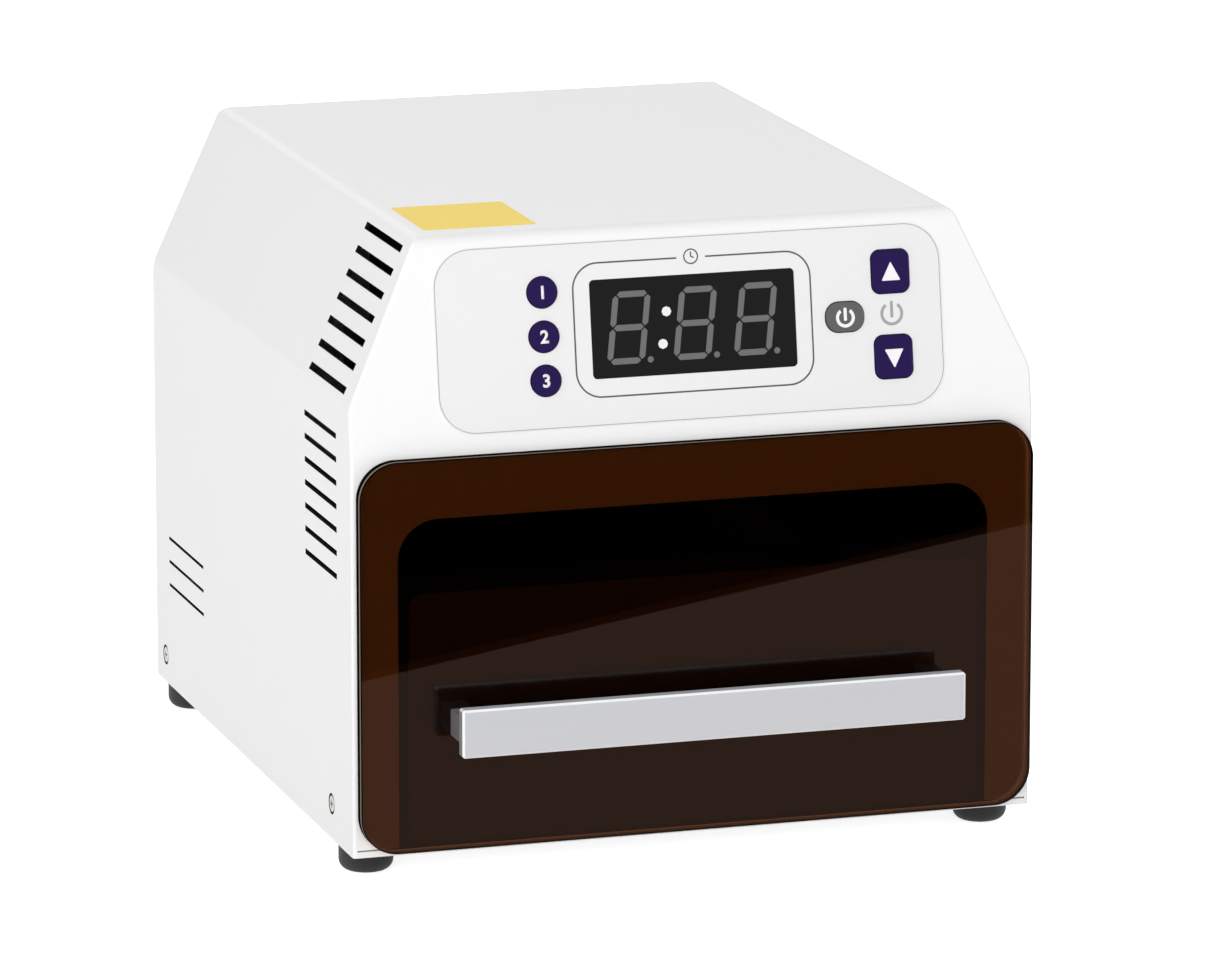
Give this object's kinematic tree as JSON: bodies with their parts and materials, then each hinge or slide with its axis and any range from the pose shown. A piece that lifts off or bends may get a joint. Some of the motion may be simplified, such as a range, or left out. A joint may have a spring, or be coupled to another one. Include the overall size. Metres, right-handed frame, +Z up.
{
  "type": "dental lab light curing unit",
  "caption": "Bench light curing unit with a sloping control panel, a pull-out curing drawer behind a tinted front, a handle bar, and a fan, inlet and switch at the rear.",
  "frame": {"origin": "on the table, at the middle of the footprint of the whole unit, handle and fan guard included", "axes": "+Z up, the front with the drawer faces -Y, +X to the right of someone facing the front"},
  "size_m": [0.24, 0.293, 0.2175],
  "materials": {
    "white_paint": "satin white powder coat",
    "overlay_print": "printed matt film",
    "dim_segment": "unlit grey",
    "lit_point": "white",
    "display_black": "dark filter",
    "circuit_board": "solder resist",
    "bright_steel": "plated",
    "black_plastic": "moulded",
    "brown_acrylic": "polished tinted acrylic",
    "drawer_paint": "satin dark coat",
    "polished_sheet": "polished reflector",
    "anodised_aluminium": "fine satin, clear anodised",
    "clear_plate": "clear",
    "lamp_package": "white package with yellow lens",
    "bare_aluminium": "as extruded",
    "brass_pin": "plated",
    "grey_key": "moulded",
    "indigo_key": "moulded, semi-gloss",
    "black_rubber": "moulded",
    "zinc_steel": "zinc plated"
  },
  "bodies": {
    "housing": {"base_tray": "white_paint", "board_posts": "bright_steel", "chamber_liner": "polished_sheet", "colon_dots": "lit_point", "control_board": "circuit_board", "control_overlay": "overlay_print", "digit_module_1": "display_black", "digit_module_2": "display_black", "digit_module_3": "display_black", "digit_segments": "dim_segment", "drawer_sensor": "black_plastic", "driver_board": "circuit_board", "fan_frame": "black_plastic", "fan_guard": "bright_steel", "foot_front_left": "black_rubber", "foot_front_right": "black_rubber", "foot_rear_left": "black_rubber", "foot_rear_right": "black_rubber", "heat_sink": "bare_aluminium", "inlet_pins": "brass_pin", "key_switches": "black_plastic", "lamp_board": "circuit_board", "lamp_window": "clear_plate", "lamps": "lamp_package", "mains_inlet": "black_plastic", "outer_cover": "white_paint", "power_supply": "bright_steel", "rear_panel": "white_paint", "slide_runner_left": "zinc_steel", "slide_runner_right": "zinc_steel", "switch_housing": "black_plastic"},
    "drawer": {"drawer_panel": "brown_acrylic", "drawer_tray": "drawer_paint", "tray_reflector": "polished_sheet", "handle_bar": "anodised_aluminium", "handle_leg_left": "anodised_aluminium", "handle_leg_right": "anodised_aluminium", "slide_rail_left": "zinc_steel", "slide_rail_right": "zinc_steel", "sensor_magnet": "bright_steel"},
    "slide_middle_left": {"slide_middle_left": "zinc_steel"},
    "slide_middle_right": {"slide_middle_right": "zinc_steel"},
    "program_key_1": {"program_key_1": "indigo_key"},
    "program_key_2": {"program_key_2": "indigo_key"},
    "program_key_3": {"program_key_3": "indigo_key"},
    "up_key": {"up_key": "indigo_key"},
    "down_key": {"down_key": "indigo_key"},
    "power_key": {"power_key": "grey_key"},
    "rocker": {"rocker": "black_plastic"},
    "fan_rotor": {"fan_rotor": "black_plastic"}
  },
  "joints": [
    {"name": "drawer_slide", "type": "slide", "parent": "housing", "child": "drawer", "axis": [0, -1, 0], "range_m": [0, 0.17]},
    {"name": "middle_slide_left", "type": "slide", "parent": "housing", "child": "slide_middle_left", "axis": [0, -1, 0], "range_m": [0, 0.085]},
    {"name": "middle_slide_right", "type": "slide", "parent": "housing", "child": "slide_middle_right", "axis": [0, -1, 0], "range_m": [0, 0.085]},
    {"name": "program_key_1_press", "type": "slide", "parent": "housing", "child": "program_key_1", "axis": [0, 0.9874, -0.1583], "range_m": [0, 0.0008], "stiffness_N_per_m": 400, "springref_m": -0.002},
    {"name": "program_key_2_press", "type": "slide", "parent": "housing", "child": "program_key_2", "axis": [0, 0.9874, -0.1583], "range_m": [0, 0.0008], "stiffness_N_per_m": 400, "springref_m": -0.002},
    {"name": "program_key_3_press", "type": "slide", "parent": "housing", "child": "program_key_3", "axis": [0, 0.9874, -0.1583], "range_m": [0, 0.0008], "stiffness_N_per_m": 400, "springref_m": -0.002},
    {"name": "up_key_press", "type": "slide", "parent": "housing", "child": "up_key", "axis": [0, 0.9874, -0.1583], "range_m": [0, 0.0008], "stiffness_N_per_m": 400, "springref_m": -0.002},
    {"name": "down_key_press", "type": "slide", "parent": "housing", "child": "down_key", "axis": [0, 0.9874, -0.1583], "range_m": [0, 0.0008], "stiffness_N_per_m": 400, "springref_m": -0.002},
    {"name": "power_key_press", "type": "slide", "parent": "housing", "child": "power_key", "axis": [0, 0.9874, -0.1583], "range_m": [0, 0.0008], "stiffness_N_per_m": 400, "springref_m": -0.002},
    {"name": "rocker_hinge", "type": "hinge", "parent": "housing", "child": "rocker", "pos_m": [-0.038, 0.1386, 0.0415], "axis": [1, 0, 0], "range_deg": [0, 20]},
    {"name": "fan_spin", "type": "hinge", "parent": "housing", "child": "fan_rotor", "pos_m": [0, 0.127, 0.1675], "axis": [0, 1, 0], "continuous": true}
  ],
  "couplings": [
    {"joint": "middle_slide_left", "follows": "drawer_slide", "ratio": 0.5},
    {"joint": "middle_slide_right", "follows": "drawer_slide", "ratio": 0.5}
  ]
}
